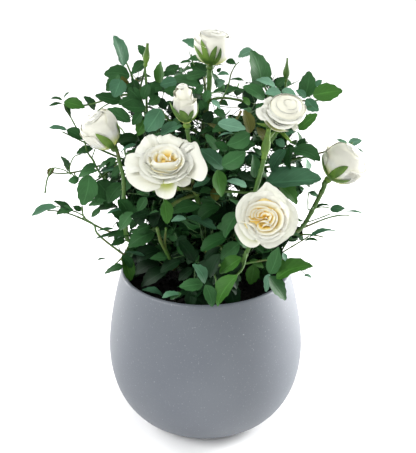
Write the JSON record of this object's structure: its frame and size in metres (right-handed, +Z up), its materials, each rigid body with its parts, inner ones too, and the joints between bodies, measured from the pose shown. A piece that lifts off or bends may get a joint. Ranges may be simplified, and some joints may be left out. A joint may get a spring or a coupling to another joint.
{
  "type": "potted rose bush",
  "caption": "Bushy patio rose with white double flowers, buds and toothed leaflets, growing in a round matt grey pot.",
  "frame": {"origin": "centre of the pot's flat underside", "axes": "+Z up, -Y towards the side that the open flowers face, +X to the right seen from there"},
  "size_m": [0.2477, 0.2132, 0.3057],
  "materials": {
    "pot": "matt grey, smooth",
    "soil": "dark moist compost",
    "stem": "green bark",
    "leaf": "semi-gloss green leaf",
    "petal": "soft white petal, cream in the folds",
    "sepal": "green bud and sepal"
  },
  "bodies": {
    "root": {"bloom_front_left": "petal", "bloom_front_right": "petal", "bloom_left_bud": "petal", "bloom_middle_bud": "petal", "bloom_right_bud": "petal", "bloom_right_high": "petal", "bloom_top": "petal", "cane_back": "stem", "cane_front": "stem", "cane_left": "stem", "cane_middle": "stem", "cane_right": "stem", "green_bud_left": "sepal", "green_bud_middle": "sepal", "green_bud_right": "sepal", "mass_heart": "leaf", "mass_low_back": "leaf", "mass_low_front": "leaf", "mass_low_left": "leaf", "mass_low_right": "leaf", "mass_mid_back": "leaf", "mass_mid_front_left": "leaf", "mass_mid_front_right": "leaf", "mass_mid_left": "leaf", "mass_mid_right": "leaf", "mass_top_back": "leaf", "mass_top_front_left": "leaf", "mass_top_front_right": "leaf", "mass_top_left": "leaf", "mass_top_right": "leaf", "pot": "pot", "shoot_back_high": "leaf", "shoot_back_left": "leaf", "shoot_back_low": "leaf", "shoot_back_right": "leaf", "shoot_front": "leaf", "shoot_front_right": "leaf", "shoot_left_broad": "leaf", "shoot_left_hanging": "leaf", "shoot_left_high": "leaf", "shoot_left_low": "leaf", "shoot_left_lowest": "leaf", "shoot_left_rim": "leaf", "shoot_left_top": "leaf", "shoot_right_behind": "leaf", "shoot_right_high": "leaf", "shoot_right_low": "leaf", "shoot_right_rim": "leaf", "shoot_top_left": "leaf", "shoot_top_left_inner": "leaf", "shoot_top_middle": "leaf", "shoot_top_right": "leaf", "soil": "soil", "stalk_green_middle": "stem", "stalk_left": "stem", "stalk_right": "stem", "stalk_top": "stem", "twig_left_hanging": "stem", "twig_left_low": "stem", "twig_right_low": "stem"}
  },
  "joints": []
}
